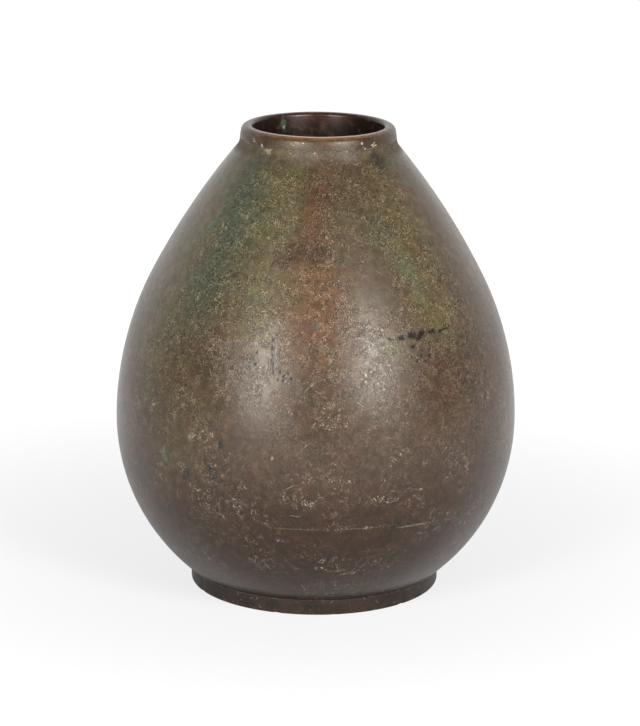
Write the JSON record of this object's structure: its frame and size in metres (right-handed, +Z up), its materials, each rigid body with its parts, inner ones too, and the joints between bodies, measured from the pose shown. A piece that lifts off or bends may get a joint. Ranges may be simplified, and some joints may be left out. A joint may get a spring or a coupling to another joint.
{
  "type": "bronze vase",
  "caption": "Plain pear-shaped bronze vase with a mottled brown patina, a short upright mouth collar and a low foot ring, for holding water and stems.",
  "frame": {"origin": "centre of the foot ring's resting face", "axes": "+Z up along the vessel's axis, through the mouth; the pictured side faces -Y"},
  "size_m": [0.1812, 0.1812, 0.211],
  "materials": {
    "body_bronze": "satin",
    "collar_bronze": "satin",
    "foot_bronze": "satin",
    "plate_bronze": "matte",
    "hard_solder": "matte"
  },
  "bodies": {
    "root": {"body_shell": "body_bronze", "rim_collar": "collar_bronze", "foot_ring": "foot_bronze", "base_plate": "plate_bronze", "rim_solder_seam": "hard_solder", "foot_solder_seam": "hard_solder", "base_solder_seam": "hard_solder"}
  },
  "joints": []
}
